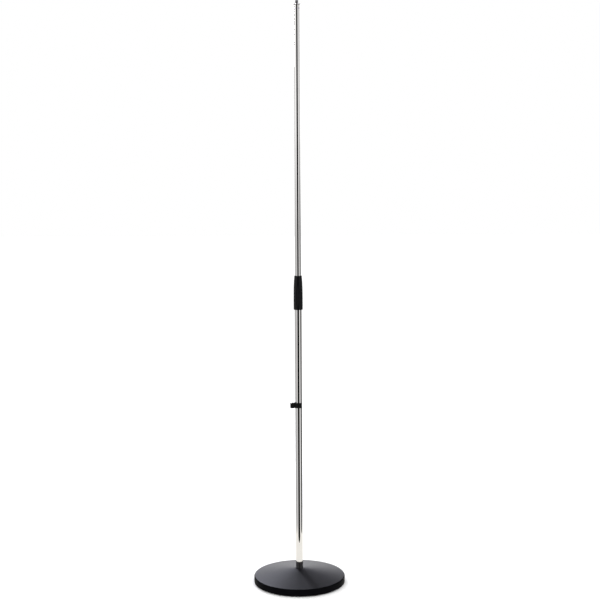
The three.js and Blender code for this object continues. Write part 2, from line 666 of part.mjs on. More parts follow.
const mast = new THREE.Group();
place(mast, "stop_bush", stopBush(), NYLON);
place(mast, "upper_rod", upperRod(), CHROME);
place(mast, "rod_end_plug", rodEndPlug(), NYLON);
place(mast, "rod_end_screw", rodEndScrew(), STEEL);
place(mast, "thread_plug", threadPlug(), CHROME);

place(stand, "cable_clip", cableClip(), BLACK_PLASTIC);
stand.add(fixed, clutch, mast);

export default stand;
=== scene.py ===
"""A straight microphone stand on a round base, dressed for a studio picture.

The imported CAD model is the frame. Ten of its pieces are built again here as smooth meshes, at the
heights and mostly the radii that the frame gives. The outlines of the grip and the clip, and all walls,
bores, rounds and threads, are sized here. The other twelve nodes stay inside and keep their CAD meshes,
with finishes of their own. Metres, +Z up.
"""

import json
import math

import bmesh
import bpy
from mathutils import Matrix, Vector


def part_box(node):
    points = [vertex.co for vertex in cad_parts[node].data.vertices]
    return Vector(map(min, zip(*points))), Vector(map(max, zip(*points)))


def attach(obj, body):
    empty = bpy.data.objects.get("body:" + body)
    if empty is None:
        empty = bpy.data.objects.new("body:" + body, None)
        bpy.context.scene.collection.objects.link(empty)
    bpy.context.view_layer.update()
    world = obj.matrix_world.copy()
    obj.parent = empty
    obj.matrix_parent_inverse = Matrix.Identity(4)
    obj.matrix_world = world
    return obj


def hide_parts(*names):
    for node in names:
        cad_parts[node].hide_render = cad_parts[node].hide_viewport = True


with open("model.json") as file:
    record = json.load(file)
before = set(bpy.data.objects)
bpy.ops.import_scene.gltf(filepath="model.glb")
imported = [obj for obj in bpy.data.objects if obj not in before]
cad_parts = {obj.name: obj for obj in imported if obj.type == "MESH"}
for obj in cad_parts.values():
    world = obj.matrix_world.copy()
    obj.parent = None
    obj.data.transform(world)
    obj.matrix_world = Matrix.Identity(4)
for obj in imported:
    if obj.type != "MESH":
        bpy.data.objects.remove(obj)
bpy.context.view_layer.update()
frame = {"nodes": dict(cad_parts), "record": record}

MM = 0.001
INCH = 25.4 * MM
TURN = 2 * math.pi
# Lengths closer than this count as equal.
TOUCHING = 1e-6
# Edges that bend more than this many degrees stay crisp.
SHARP_DEG = 35


# ---------------------------------------------------------------- sizes read from the frame
def outer_radius(node):
    low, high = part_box(node)
    return (high.x - low.x) / 2


def heights(node):
    low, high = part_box(node)
    return low.z, high.z


BASE_R = outer_radius("base_casting")
BASE_LOW, BASE_TOP = heights("base_casting")
TUBE_R = outer_radius("lower_tube")
TUBE_LOW, TUBE_TOP = heights("lower_tube")
ROD_R = outer_radius("upper_rod")
ROD_LOW, ROD_TOP = heights("upper_rod")
GRIP_LOW, GRIP_TOP = heights("clutch_grip")
RING_R = outer_radius("rubber_ring")
RING_LOW, RING_TOP = heights("rubber_ring")
FLANGE_R = outer_radius("thread_plug")
PLUG_LOW, STUD_TOP = heights("thread_plug")
SEAT = next(m for m in frame["record"]["mounts"] if m["name"] == "mic_thread_seat")
FLANGE_TOP = SEAT["pos_m"][2]
CLIP_LOW, CLIP_TOP = heights("cable_clip")


# ---------------------------------------------------------------- mesh helpers
def polar(radius, degrees, centre=(0.0, 0.0)):
    a = math.radians(degrees)
    return (centre[0] + radius * math.cos(a), centre[1] + radius * math.sin(a))


def arc(centre, radius, start, end, steps):
    """Points of an arc round centre, from one angle to another, in degrees."""
    return [polar(radius, start + (end - start) * i / steps, centre) for i in range(steps + 1)]


def finish_mesh(name, mesh_builder, sharp_deg=SHARP_DEG):
    """Turns a bmesh into a smooth-shaded object whose hard edges stay crisp."""
    bmesh.ops.recalc_face_normals(mesh_builder, faces=mesh_builder.faces)
    mesh = bpy.data.meshes.new(name)
    mesh_builder.to_mesh(mesh)
    mesh_builder.free()
    mesh.shade_smooth()
    mesh.set_sharp_from_angle(angle=math.radians(sharp_deg))
    piece = bpy.data.objects.new(name, mesh)
    bpy.context.scene.collection.objects.link(piece)
    return piece


# Points nearer than this become one.
SAME_POINT = 1e-7
# Edges shorter than this are dissolved.
NO_LENGTH = 1e-8


def revolve(name, outline, segments=96, shape=None, sharp_deg=SHARP_DEG):
    """A closed outline of (radius, height) points turned round Z. shape(angle, radius, height) may
    give each point another radius, for ribs, threads and flats."""
    bm = bmesh.new()
    columns = []
    for s in range(segments):
        angle = TURN * s / segments
        column = []
        for r, z in outline:
            radius = shape(angle, r, z) if shape else r
            column.append(bm.verts.new((radius * math.cos(angle), radius * math.sin(angle), z)))
        columns.append(column)
    count = len(outline)
    for s in range(segments):
        here, there = columns[s], columns[(s + 1) % segments]
        for i in range(count):
            j = (i + 1) % count
            # A side that lies on the axis sweeps no face.
            if max(outline[i][0], outline[j][0]) > 0:
                bm.faces.new((here[i], there[i], there[j], here[j]))
    bmesh.ops.remove_doubles(bm, verts=bm.verts, dist=SAME_POINT)
    bmesh.ops.dissolve_degenerate(bm, edges=bm.edges, dist=NO_LENGTH)
    return finish_mesh(name, bm, sharp_deg)


# How far a guard point stands from the rounding that it guards.
GUARD = 0.04 * MM
# The most of a side that the rounding of one corner may take.
SIDE_SHARE = 0.48
# A corner is taken as straight when half the angle between its sides is more degrees than this.
STRAIGHT_DEG = 88


def rounded(points, default=0.3 * MM, steps=4):
    """Rounds the corners of a closed outline that stand off the axis. A point is (r, z) or (r, z,
    rounding radius). A guard point on each side keeps the shading of the straight stretches straight."""
    out = []
    count = len(points)
    for i, point in enumerate(points):
        here = Vector(point[:2])
        radius = point[2] if len(point) > 2 else default
        back = Vector(points[i - 1][:2]) - here
        on = Vector(points[(i + 1) % count][:2]) - here
        half = back.angle(on) / 2
        if radius <= 0 or here.x <= 0 or half > math.radians(STRAIGHT_DEG):
            out.append(tuple(here))
            continue
        reach = min(radius / math.tan(half), SIDE_SHARE * back.length, SIDE_SHARE * on.length)
        fillet = reach * math.tan(half)
        middle = here + (back.normalized() + on.normalized()).normalized() * (fillet / math.sin(half))
        first = here + back.normalized() * reach - middle
        last = here + on.normalized() * reach - middle
        sweep = first.angle_signed(last)
        bend = [middle + Matrix.Rotation(-sweep * k / steps, 2) @ first for k in range(steps + 1)]
        before = [bend[0] + back.normalized() * GUARD] if back.length - reach > 3 * GUARD else []
        after = [bend[-1] + on.normalized() * GUARD] if on.length - reach > 3 * GUARD else []
        out += [tuple(p) for p in before + bend + after]
    return out


def dress(piece, body, slot, material, *nodes):
    """Gives a piece its material and its body, and hides the CAD nodes that it stands for. The slot is
    not used.
    """
    piece.data.materials.clear()
    piece.data.materials.append(material)
    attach(piece, body)
    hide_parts(*nodes)
    return piece


# ---------------------------------------------------------------- materials
# The noise values that are spread over a whole range of colour or roughness. Others are clamped.
NOISE_RANGE = (0.3, 0.7)


class Finish:
    """A Principled material with short helpers for its procedural detail."""

    def __init__(self, name, color, roughness, metallic=0.0, **sockets):
        self.material = bpy.data.materials.new(name)
        self.material.use_nodes = True
        self.tree = self.material.node_tree
        self.shader = self.tree.nodes["Principled BSDF"]
        self.set("Base Color", (*color, 1.0))
        self.set("Roughness", roughness)
        self.set("Metallic", metallic)
        for socket, value in sockets.items():
            self.set(socket.replace("_", " "), value)
        self.place = self.tree.nodes.new("ShaderNodeTexCoord").outputs["Object"]
        self.height = None

    def set(self, socket, value):
        self.shader.inputs[socket].default_value = value

    def link(self, output, socket):
        self.tree.links.new(output, socket)

    def stretched(self, scale):
        node = self.tree.nodes.new("ShaderNodeMapping")
        node.inputs["Scale"].default_value = scale
        self.link(self.place, node.inputs["Vector"])
        return node.outputs["Vector"]

    def noise(self, scale, detail=3.0, stretch=(1, 1, 1), roughness=0.5):
        node = self.tree.nodes.new("ShaderNodeTexNoise")
        node.inputs["Scale"].default_value = scale
        node.inputs["Detail"].default_value = detail
        node.inputs["Roughness"].default_value = roughness
        self.link(self.stretched(stretch), node.inputs["Vector"])
        return node.outputs["Fac"]

    def cells(self, scale):
        node = self.tree.nodes.new("ShaderNodeTexVoronoi")
        node.feature = "SMOOTH_F1"
        node.inputs["Scale"].default_value = scale
        self.link(self.stretched((1, 1, 1)), node.inputs["Vector"])
        return node.outputs["Distance"]

    def ranged(self, value, low, high):
        node = self.tree.nodes.new("ShaderNodeMapRange")
        node.inputs["From Min"].default_value, node.inputs["From Max"].default_value = NOISE_RANGE
        node.inputs["To Min"].default_value, node.inputs["To Max"].default_value = low, high
        self.link(value, node.inputs["Value"])
        return node.outputs["Result"]

    def vary_roughness(self, value, low, high):
        self.link(self.ranged(value, low, high), self.shader.inputs["Roughness"])
        return self

    def vary_color(self, value, first, second):
        node = self.tree.nodes.new("ShaderNodeMix")
        node.data_type = "RGBA"
        node.inputs["A"].default_value = (*first, 1.0)
        node.inputs["B"].default_value = (*second, 1.0)
        self.link(self.ranged(value, 0.0, 1.0), node.inputs["Factor"])
        self.link(node.outputs["Result"], self.shader.inputs["Base Color"])
        return self

    def bump(self, value, depth, strength=1.0):
        """depth is the relief's depth in metres at strength 1. Each call adds to the ones before."""
        node = self.tree.nodes.new("ShaderNodeBump")
        node.inputs["Distance"].default_value = depth
        node.inputs["Strength"].default_value = strength
        self.link(value, node.inputs["Height"])
        if self.height:
            self.link(self.height, node.inputs["Normal"])
        self.height = node.outputs["Normal"]
        self.link(self.height, self.shader.inputs["Normal"])
        return self


def chrome():
    """Bright plate over drawn tube: almost a mirror, with faint drawing lines and uneven gloss."""
    f = Finish("chrome", (0.80, 0.785, 0.775), roughness=0.05, metallic=1.0)
    f.vary_color(f.noise(26, detail=4), (0.77, 0.755, 0.745), (0.82, 0.805, 0.795))
    f.vary_roughness(f.noise(60, detail=5), low=0.02, high=0.05)
    f.bump(f.noise(900, detail=2, stretch=(1, 1, 0.012)), depth=0.0005 * MM, strength=0.2)
    return f.material


def powder_coat(name, specular):
    """Black powder coat with a fine orange-peel grain."""
    f = Finish(name, (0.002, 0.002, 0.003), roughness=0.45, Specular_IOR_Level=specular)
    f.vary_color(f.noise(35, detail=5), (0.0015, 0.0015, 0.002), (0.003, 0.003, 0.004))
    f.vary_roughness(f.noise(420, detail=4), low=0.40, high=0.50)
    f.bump(f.cells(1300), depth=0.008 * MM, strength=0.3)
    f.bump(f.noise(2600, detail=3), depth=0.006 * MM, strength=0.4)
    return f.material


def rubber():
    f = Finish("rubber", (0.012, 0.012, 0.012), roughness=0.8)
    f.vary_color(f.noise(80, detail=4), (0.010, 0.010, 0.010), (0.020, 0.020, 0.019))
    f.vary_roughness(f.noise(300, detail=4), low=0.7, high=0.88)
    f.bump(f.noise(1800, detail=4), depth=0.03 * MM, strength=0.5)
    return f.material


def moulded_black():
    """Semi-gloss moulded sleeve, with gloss that varies from place to place."""
    f = Finish("moulded_black", (0.003, 0.003, 0.004), roughness=0.32, Specular_IOR_Level=0.18)
    f.vary_color(f.noise(90, detail=4), (0.0015, 0.0015, 0.002), (0.004, 0.004, 0.005))
    f.vary_roughness(f.noise(120, detail=5), low=0.26, high=0.40)
    f.bump(f.noise(2400, detail=3), depth=0.012 * MM, strength=0.5)
    return f.material


def satin_black():
    f = Finish("satin_black", (0.002, 0.002, 0.002), roughness=0.5, Specular_IOR_Level=0.15)
    f.vary_color(f.noise(120, detail=4), (0.001, 0.001, 0.001), (0.003, 0.003, 0.003))
    f.vary_roughness(f.noise(400, detail=4), low=0.45, high=0.6)
    f.bump(f.noise(3000, detail=3), depth=0.015 * MM, strength=0.5)
    return f.material


def zinc():
    """Zinc-plated steel with the faint yellow and blue clouds of its passivation."""
    f = Finish("zinc", (0.6, 0.61, 0.63), roughness=0.35, metallic=1.0)
    f.vary_color(f.noise(140, detail=5), (0.56, 0.57, 0.61), (0.68, 0.66, 0.58))
    f.vary_roughness(f.noise(500, detail=4), low=0.28, high=0.45)
    f.bump(f.noise(1500, detail=3), depth=0.01 * MM, strength=0.4)
    return f.material


def nylon():
    f = Finish("nylon", (0.72, 0.70, 0.62), roughness=0.42,
               Subsurface_Weight=0.15, Subsurface_Scale=0.002)
    f.vary_color(f.noise(150, detail=4), (0.69, 0.67, 0.58), (0.76, 0.74, 0.67))
    f.vary_roughness(f.noise(600, detail=4), low=0.36, high=0.5)
    f.bump(f.noise(2000, detail=3), depth=0.01 * MM, strength=0.4)
    return f.material


def felt():
    f = Finish("felt", (0.02, 0.02, 0.02), roughness=0.95, Sheen_Weight=0.4, Sheen_Roughness=0.5)
    f.vary_color(f.noise(900, detail=6), (0.014, 0.014, 0.014), (0.035, 0.034, 0.033))
    f.bump(f.noise(3500, detail=6, roughness=0.7), depth=0.15 * MM, strength=0.7)
    return f.material


CHROME = chrome()
POWDER_COAT = powder_coat("powder_coat", specular=0.5)
# The same coat with almost no reflection, as painted shade for the skirt and the low underside.
SHADED_SKIRT_COAT = powder_coat("shaded_skirt_powder_coat", specular=0.01)
RUBBER = rubber()
MOULDED_BLACK = moulded_black()
SATIN_BLACK = satin_black()
ZINC = zinc()
NYLON = nylon()
FELT = felt()


# ---------------------------------------------------------------- base
SOCKET_DEPTH = 4.2 * MM
SOCKET_R = TUBE_R + 0.3 * MM
CENTRE_FLAT_R = 13 * MM
RIM_ROUND = 4 * MM
SHELL = 8 * MM
RIM_HEIGHT = 21 * MM
RIM_WIDTH = 16 * MM
RIB_COUNT = 6
RIB_HALF = 2.5 * MM
RIB_LOW = 9 * MM
RIB_OVERLAP = 1 * MM
RING_WIDTH = 8 * MM
RING_GAP = 0.3 * MM
# Faces below this height get a copy of the powder coat that hardly reflects, as painted shade: the
# skirt, and the underside where it is as low.
SKIRT_TOP = 20.4 * MM


def cone_height(radius):
    """The height of the cone's outer face, carried on in a straight line past the flat and the rim."""
    run = BASE_R - RIM_ROUND - CENTRE_FLAT_R
    return BASE_TOP - (radius - CENTRE_FLAT_R) * (BASE_TOP - RIM_HEIGHT) / run


def ceiling(radius):
    """The height of the shell's inner face, under the cone."""
    return cone_height(radius) - SHELL


def base_casting():
    """A shallow cone with a rolled rim and a straight skirt, hollow below with a boss and six ribs."""
    bolt_r, bore_r, bore_top = 5.5 * MM, 12.5 * MM, 17 * MM
    boss_r, boss_low = 20 * MM, 5 * MM
    rim_inner = BASE_R - RIM_WIDTH
    groove_top = RING_TOP + RING_GAP
    ring_inner, ring_outer = RING_R - RING_WIDTH - RING_GAP, RING_R + RING_GAP
    outline = rounded([
        (bolt_r, BASE_TOP - SOCKET_DEPTH, 0.2 * MM),
        (SOCKET_R, BASE_TOP - SOCKET_DEPTH, 0),
        (SOCKET_R, BASE_TOP, 0.4 * MM),
        (CENTRE_FLAT_R, BASE_TOP, 8 * MM),
        (BASE_R, cone_height(BASE_R), RIM_ROUND),
        (BASE_R, BASE_LOW, 1 * MM),
        (ring_outer, BASE_LOW, 0.3 * MM),
        (ring_outer, groove_top, 0),
        (ring_inner, groove_top, 0),
        (ring_inner, BASE_LOW, 0.3 * MM),
        (rim_inner, BASE_LOW, 1 * MM),
        (rim_inner, ceiling(rim_inner), 4 * MM),
        (boss_r, ceiling(boss_r), 4 * MM),
        (boss_r, boss_low, 1 * MM),
        (bore_r, boss_low, 0.5 * MM),
        (bore_r, bore_top, 0.5 * MM),
        (bolt_r, bore_top, 0.2 * MM),
    ], steps=8)
    casting = revolve("base_casting_shell", outline, segments=240)
    for i in range(RIB_COUNT):
        rib = base_rib(boss_r - RIB_OVERLAP, rim_inner + RIB_OVERLAP, TURN * i / RIB_COUNT)
        join = casting.modifiers.new("rib", "BOOLEAN")
        join.operation, join.solver, join.object = "UNION", "EXACT", rib
        bpy.context.view_layer.objects.active = casting
        bpy.ops.object.modifier_apply(modifier=join.name)
        bpy.data.objects.remove(rib)
    casting.data.shade_smooth()
    casting.data.set_sharp_from_angle(angle=math.radians(SHARP_DEG))
    return casting


def base_rib(start, end, angle):
    """A rib from one radius to another. It reaches a little way into the shell, so that the two join."""
    bm = bmesh.new()
    into = SHELL / 3
    side = [(start, RIB_LOW), (end, RIB_LOW), (end, ceiling(end) + into), (start, ceiling(start) + into)]
    near = [bm.verts.new((r, -RIB_HALF, z)) for r, z in side]
    far = [bm.verts.new((r, RIB_HALF, z)) for r, z in side]
    bm.faces.new(near)
    bm.faces.new(reversed(far))
    for i in range(4):
        j = (i + 1) % 4
        bm.faces.new((near[i], far[i], far[j], near[j]))
    low_edges = [e for e in bm.edges if all(v.co.z < RIB_LOW + TOUCHING for v in e.verts)]
    bmesh.ops.bevel(bm, geom=low_edges, offset=1 * MM, segments=3, affect="EDGES", profile=0.5)
    bmesh.ops.rotate(bm, verts=bm.verts, matrix=Matrix.Rotation(angle, 3, "Z"))
    return finish_mesh("rib", bm)


def rubber_ring():
    inner = RING_R - RING_WIDTH
    outline = rounded([
        (inner, RING_LOW, 1 * MM),
        (RING_R, RING_LOW, 1 * MM),
        (RING_R, RING_TOP, 0.3 * MM),
        (inner, RING_TOP, 0.3 * MM),
    ])
    return revolve("rubber_ring_moulding", outline, segments=192)


def base_bolt():
    """A hexagon head bolt, with a shallow chamfer on the head and a right-hand helix on the shank."""
    low, high = heights("base_bolt")
    head_high = low + 6.4 * MM
    flats = (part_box("base_bolt")[1].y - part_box("base_bolt")[0].y) / 2
    corner = flats / math.cos(math.pi / 6)
    face, chamfer, edge, slack = flats * 0.94, 1.1 * MM, 0.4 * MM, 0.1 * MM
    shank, root, pitch = 5 * MM, 4.1 * MM, 1.5 * MM
    start, end, rows = head_high + 4 * MM, high - 1 * MM, 150

    def six_flats(angle, radius, height):
        if radius <= shank + slack or height > head_high + slack:
            return radius
        turn = (angle % (TURN / 6)) - TURN / 12
        return min(radius, flats / math.cos(turn))

    def threaded(angle, radius, height):
        if height < start or radius < root:
            return six_flats(angle, radius, height)
        phase = ((height / pitch) - angle / TURN) % 1.0
        fade = min(1.0, (height - start) / pitch)
        return radius - fade * (shank - root) * (1 - abs(2 * phase - 1))

    outline = [
        (0, low), (face, low), (corner, low + chamfer), (corner, head_high - edge),
        (corner - edge, head_high), (shank, head_high),
        *[(shank, start + (end - start) * i / rows) for i in range(rows + 1)],
        (root - slack, high), (0, high),
    ]
    return revolve("base_bolt_forged", outline, 96, threaded, sharp_deg=25)


# ---------------------------------------------------------------- tubes
TUBE_WALL = 0.8 * MM
ROD_WALL = 1 * MM
# The rod's plug stands this far inside the rod's bore.
PLUG_GAP = 0.1 * MM
# The groove that is rolled into the rod: how far below the flange it is, half its width, its depth.
CRIMP_BELOW = 12 * MM
CRIMP_HALF = 1.2 * MM
CRIMP_DEPTH = 0.35 * MM
# The stud's thread, in shares of its pitch: its depth, and how far below the tip it fades out.
THREAD_DEPTH = 0.61
THREAD_FADE = 0.8
# From root to crest, this share of the way is flat root, and this share is flank. The rest is crest.
ROOT_FLAT = 0.12
FLANK = 0.72


def lower_tube():
    bore = TUBE_R - TUBE_WALL
    outline = rounded([
        (bore, TUBE_LOW, 0.2 * MM),
        (TUBE_R, TUBE_LOW, 0.3 * MM),
        (TUBE_R, TUBE_TOP, 0.3 * MM),
        (bore, TUBE_TOP, 0.2 * MM),
    ])
    return revolve("lower_tube_plated", outline, segments=128)


def upper_rod():
    """The rod's top end is rolled into a groove in the thread plug."""
    bore = ROD_R - ROD_WALL
    crimp = FLANGE_TOP - CRIMP_BELOW
    outline = rounded([
        (bore, ROD_LOW, 0.2 * MM),
        (ROD_R, ROD_LOW, 0.3 * MM),
        (ROD_R, crimp - CRIMP_HALF, 1 * MM),
        (ROD_R - CRIMP_DEPTH, crimp, 0.6 * MM),
        (ROD_R, crimp + CRIMP_HALF, 1 * MM),
        (ROD_R, ROD_TOP, 0.3 * MM),
        (bore, ROD_TOP, 0.2 * MM),
        (bore, crimp + CRIMP_HALF, 1 * MM),
        (bore - CRIMP_DEPTH, crimp, 0.6 * MM),
        (bore, crimp - CRIMP_HALF, 1 * MM),
    ])
    return revolve("upper_rod_plated", outline, segments=128)


def thread_plug():
    """Insert, flange and stud in one turned piece. The stud carries a true right-hand helix."""
    major, pitch = 3 / 8 * INCH / 2, INCH / 16
    root, neck = major - THREAD_DEPTH * pitch, 0.8 * MM
    crimp = FLANGE_TOP - CRIMP_BELOW
    insert = ROD_R - ROD_WALL - PLUG_GAP
    flange_low = ROD_TOP + 0.3 * MM
    start, end, rows = FLANGE_TOP + neck, STUD_TOP - 0.5 * MM, 96

    def helix(angle, radius, height):
        if height < start or radius < root - TOUCHING:
            return radius
        phase = ((height - start) / pitch - angle / TURN) % 1.0
        ridge = min(1.0, max(0.0, (1 - abs(2 * phase - 1) - ROOT_FLAT) / FLANK))
        fade_in = min(1.0, (height - start) / pitch)
        fade_out = min(1.0, (STUD_TOP - height) / (THREAD_FADE * pitch))
        return min(radius, root + (major - root) * ridge * (fade_in * fade_out))

    outline = rounded([
        (0, PLUG_LOW),
        (insert - 1 * MM, PLUG_LOW),
        (insert, PLUG_LOW + 1 * MM),
        (insert, crimp - CRIMP_HALF, 1 * MM),
        (insert - CRIMP_DEPTH, crimp, 0.6 * MM),
        (insert, crimp + CRIMP_HALF, 1 * MM),
        (insert, flange_low, 0.1 * MM),
        (FLANGE_R, flange_low, 0.6 * MM),
        (FLANGE_R, FLANGE_TOP, 0.7 * MM),
        (major, FLANGE_TOP, 0.2 * MM),
        (major, start, 0),
        *[(major, start + (end - start) * i / rows, 0) for i in range(1, rows + 1)],
        (root - 0.2 * MM, STUD_TOP, 0.2 * MM),
        (0, STUD_TOP),
    ])
    return revolve("thread_plug_turned", outline, 128, helix, sharp_deg=30)


# ---------------------------------------------------------------- clutch
FLUTES = 12
FLUTE_DEPTH = 0.4 * MM
FLUTE_FOOT = (3 * MM, 16 * MM)
FLUTE_HEAD = (54.5 * MM, 72.5 * MM)
# The sleeve's side: each point's radius, and its height above the grip's lower end, in millimetres.
GRIP_SIDE = [
    (12.4, 2.0), (12.4, 14), (12.39, 24), (12.35, 32), (12.3, 40), (12.22, 48), (12.1, 56),
    (11.9, 63), (11.65, 69), (11.33, 75), (10.92, 81), (10.47, 86.5), (10.24, 89.5), (10.12, 91.0),
    (9.98, 91.6), (9.75, 91.9),
]
GRIP_FOOT_ROUND = 1.2 * MM


def smoothstep(value, low, high):
    """0 below low, 1 above high, and a smooth rise between them."""
    t = min(1.0, max(0.0, (value - low) / (high - low)))
    return t * t * (3 - 2 * t)


def clutch_grip():
    """Turned by hand: a sleeve with shallow finger flutes that narrows to a smooth neck."""
    length = GRIP_TOP - GRIP_LOW
    bore, neck_bore, throat = 11.2 * MM, 10.3 * MM, ROD_R + 0.4 * MM
    inside_step, inside_neck, slip_top, wiper_seat = 64.5 * MM, 70.5 * MM, 83.3 * MM, 87.2 * MM
    wiper_r = outer_radius("wiper_ring") + 0.1 * MM
    foot = arc((bore, GRIP_FOOT_ROUND), GRIP_FOOT_ROUND, -70, 0, 8)
    side = densify([(r * MM, h * MM) for r, h in GRIP_SIDE], 1 * MM)
    outside = [(bore, 0)] + foot + side
    inside = [
        (wiper_r, length), (wiper_r, wiper_seat), (throat, wiper_seat), (throat, slip_top),
        (neck_bore, slip_top), (neck_bore, inside_neck), (bore, inside_step),
    ]
    outline = [(r, GRIP_LOW + h) for r, h in outside + inside]

    def fluted(angle, radius, height):
        h = height - GRIP_LOW
        if radius < bore + 0.05 * MM:
            return radius
        fade = smoothstep(h, *FLUTE_FOOT) * (1 - smoothstep(h, *FLUTE_HEAD))
        return radius - FLUTE_DEPTH * fade * (0.5 - 0.5 * math.cos(FLUTES * angle))

    return revolve("clutch_grip_moulded", outline, FLUTES * 16, fluted, sharp_deg=40)


def densify(points, step):
    """The same broken line with extra points, so that a shape function has rows to work on."""
    out = [points[0]]
    for a, b in zip(points, points[1:]):
        a, b = Vector(a), Vector(b)
        n = max(1, math.ceil((b - a).length / step))
        out += [tuple(a.lerp(b, i / n)) for i in range(1, n + 1)]
    return out


def plain_ring(name, node, inner, segments=96, rounding=0.25 * MM):
    """A ring with rounded edges, with the height and outer radius of a CAD node and its own bore."""
    low, high = heights(node)
    outer = outer_radius(node)
    outline = rounded([(inner, low), (outer, low), (outer, high), (inner, high)], rounding)
    return revolve(name, outline, segments)


# ---------------------------------------------------------------- cable clip
CLIP_BORE = TUBE_R + 0.1 * MM
CLIP_WALL = 1.9 * MM
# Angles of the clip are in degrees from +X. The jaws are open this far to each side of +X.
JAW_MOUTH = 42
HOOK_BORE = 3.8 * MM
HOOK_WALL = 2.1 * MM
HOOK_CENTRE = (-17.2 * MM, -5.6 * MM)
HOOK_OPEN_FROM, HOOK_OPEN_TO = 95, 175
WEB_ROUND = 3 * MM
EDGE_ROUND = 0.5 * MM


def clip_outline():
    """Jaws round the tube and a small hook for the cable, joined by two fillets."""
    jaw_out, hook_out = CLIP_BORE + CLIP_WALL, HOOK_BORE + HOOK_WALL
    apart = math.hypot(*HOOK_CENTRE)
    jaw_side, hook_side = jaw_out + WEB_ROUND, hook_out + WEB_ROUND
    at_hook = math.degrees(math.acos((apart**2 + hook_side**2 - jaw_side**2) / (2 * apart * hook_side)))
    at_jaw = math.degrees(math.acos((apart**2 + jaw_side**2 - hook_side**2) / (2 * apart * jaw_side)))
    towards_hook = math.degrees(math.atan2(HOOK_CENTRE[1], HOOK_CENTRE[0])) % 360
    towards_jaw = towards_hook - 180
    back_web = polar(jaw_side, towards_hook - at_jaw)
    front_web = polar(jaw_side, towards_hook + at_jaw)

    def tip(centre, bore, wall, degrees, turn):
        middle = polar(bore + wall / 2, degrees, centre)
        return arc(middle, wall / 2, degrees + turn, degrees + turn + 180, 10)[1:-1]

    origin = (0.0, 0.0)
    return (
        arc(origin, jaw_out, JAW_MOUTH, towards_hook - at_jaw, 40)
        + arc(back_web, WEB_ROUND, towards_hook - at_jaw + 180, towards_jaw + at_hook + 180, 12)[1:]
        + arc(HOOK_CENTRE, hook_out, towards_jaw + at_hook, HOOK_OPEN_FROM, 6)[1:]
        + tip(HOOK_CENTRE, HOOK_BORE, HOOK_WALL, HOOK_OPEN_FROM, 0)
        + arc(HOOK_CENTRE, HOOK_BORE, HOOK_OPEN_FROM, HOOK_OPEN_TO - 360, 40)
        + tip(HOOK_CENTRE, HOOK_BORE, HOOK_WALL, HOOK_OPEN_TO, 180)
        + arc(HOOK_CENTRE, hook_out, HOOK_OPEN_TO, towards_jaw - at_hook + 360, 24)
        + arc(front_web, WEB_ROUND, towards_jaw - at_hook + 180, towards_hook + at_jaw - 180, 12)[1:]
        + arc(origin, jaw_out, towards_hook + at_jaw, 360 - JAW_MOUTH, 28)[1:]
        + tip(origin, CLIP_BORE, CLIP_WALL, -JAW_MOUTH, 0)
        + arc(origin, CLIP_BORE, 360 - JAW_MOUTH, JAW_MOUTH, 60)
        + tip(origin, CLIP_BORE, CLIP_WALL, JAW_MOUTH, 180)
    )


def inset(points, distance):
    """A closed counter-clockwise outline moved inwards by a distance."""
    out = []
    count = len(points)
    for i in range(count):
        before, here, after = Vector(points[i - 1]), Vector(points[i]), Vector(points[(i + 1) % count])
        along = ((here - before).normalized() + (after - here).normalized()).normalized()
        out.append(here + Vector((-along.y, along.x)) * distance)
    return out


def cable_clip():
    """The outline raised to the clip's height, with its upper and lower edges rounded."""
    outline = clip_outline()
    steps = 4
    bm = bmesh.new()
    layers = []
    for k in range(steps + 1):
        a = math.pi / 2 * k / steps
        layers.append((EDGE_ROUND * (1 - math.sin(a)), CLIP_LOW + EDGE_ROUND * (1 - math.cos(a))))
    layers += [(d, CLIP_LOW + CLIP_TOP - z) for d, z in reversed(layers)]
    loops = [[bm.verts.new((*p, z)) for p in inset(outline, d)] for d, z in layers]
    count = len(outline)
    for low, high in zip(loops, loops[1:]):
        for i in range(count):
            j = (i + 1) % count
            bm.faces.new((low[i], low[j], high[j], high[i]))
    bm.faces.new(reversed(loops[0]))
    bm.faces.new(loops[-1])
    return finish_mesh("cable_clip_moulded", bm, sharp_deg=40)


# ---------------------------------------------------------------- pieces
def paint_shade_below(piece, height, material):
    """Gives the faces below a height a second material: a copy that hardly reflects, as painted shade.
    """
    piece.data.materials.append(material)
    for face in piece.data.polygons:
        if face.center.z < height:
            face.material_index = 1


# How far a ring's bore stands off the tube or rod that runs in it.
RUNNING_GAP = 0.1 * MM

casting = dress(base_casting(), "base", "base_casting", POWDER_COAT, "base_casting")
# The skirt and the low underside take the coat that hardly reflects, as painted shade.
paint_shade_below(casting, SKIRT_TOP, SHADED_SKIRT_COAT)
dress(rubber_ring(), "base", "rubber", RUBBER, "rubber_ring")
dress(base_bolt(), "base", "zinc_steel", ZINC, "base_bolt")
dress(lower_tube(), "base", "chrome", CHROME, "lower_tube")
dress(upper_rod(), "rod", "chrome", CHROME, "upper_rod")
dress(thread_plug(), "rod", "chrome", CHROME, "thread_plug")
dress(clutch_grip(), "grip", "black_plastic", MOULDED_BLACK, "clutch_grip")
dress(plain_ring("grip_end_bush_moulded", "grip_end_bush", TUBE_R + RUNNING_GAP),
      "grip", "black_plastic", SATIN_BLACK, "grip_end_bush")
dress(plain_ring("wiper_ring_felt", "wiper_ring", ROD_R + RUNNING_GAP, rounding=0.4 * MM),
      "grip", "felt", FELT, "wiper_ring")
dress(cable_clip(), "clip", "clip_plastic", SATIN_BLACK, "cable_clip")

INSIDE = {
    "flat_washer": ZINC, "spring_washer": ZINC, "foot_plug": ZINC, "clutch_body": ZINC,
    "clutch_pin_left": ZINC, "clutch_pin_right": ZINC, "guide_bush": NYLON, "collet": NYLON,
    "slip_ring": ZINC, "stop_bush": NYLON, "rod_end_plug": NYLON, "rod_end_screw": ZINC,
}
for node, material in INSIDE.items():
    mesh = frame["nodes"][node].data
    mesh.materials.clear()
    mesh.materials.append(material)


